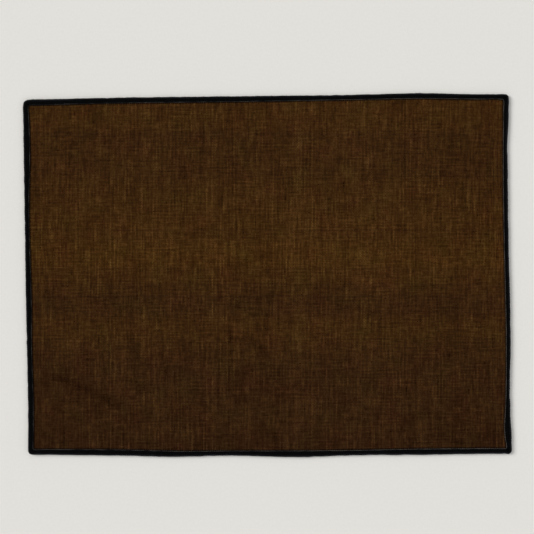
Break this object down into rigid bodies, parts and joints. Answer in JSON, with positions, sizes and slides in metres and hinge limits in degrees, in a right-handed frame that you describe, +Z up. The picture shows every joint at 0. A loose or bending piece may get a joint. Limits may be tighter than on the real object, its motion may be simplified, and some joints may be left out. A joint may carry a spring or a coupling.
{
  "type": "fabric placemat",
  "caption": "Flat rectangular woven placemat in dark brown cloth with a narrow black overlocked edge, for laying under a plate on a table.",
  "frame": {"origin": "middle of the mat's outline, on the table that it lies on", "axes": "+X along the long side, +Y towards the top edge of the picture, +Z up out of the table"},
  "size_m": [0.4548, 0.3386, 0.0033],
  "materials": {
    "brown_cloth": "matt plain weave of uneven slub yarns",
    "black_thread": "overlocked polyester thread with a faint sheen"
  },
  "bodies": {
    "root": {"cloth_panel": "brown_cloth", "overlocked_edging": "black_thread"}
  },
  "joints": []
}
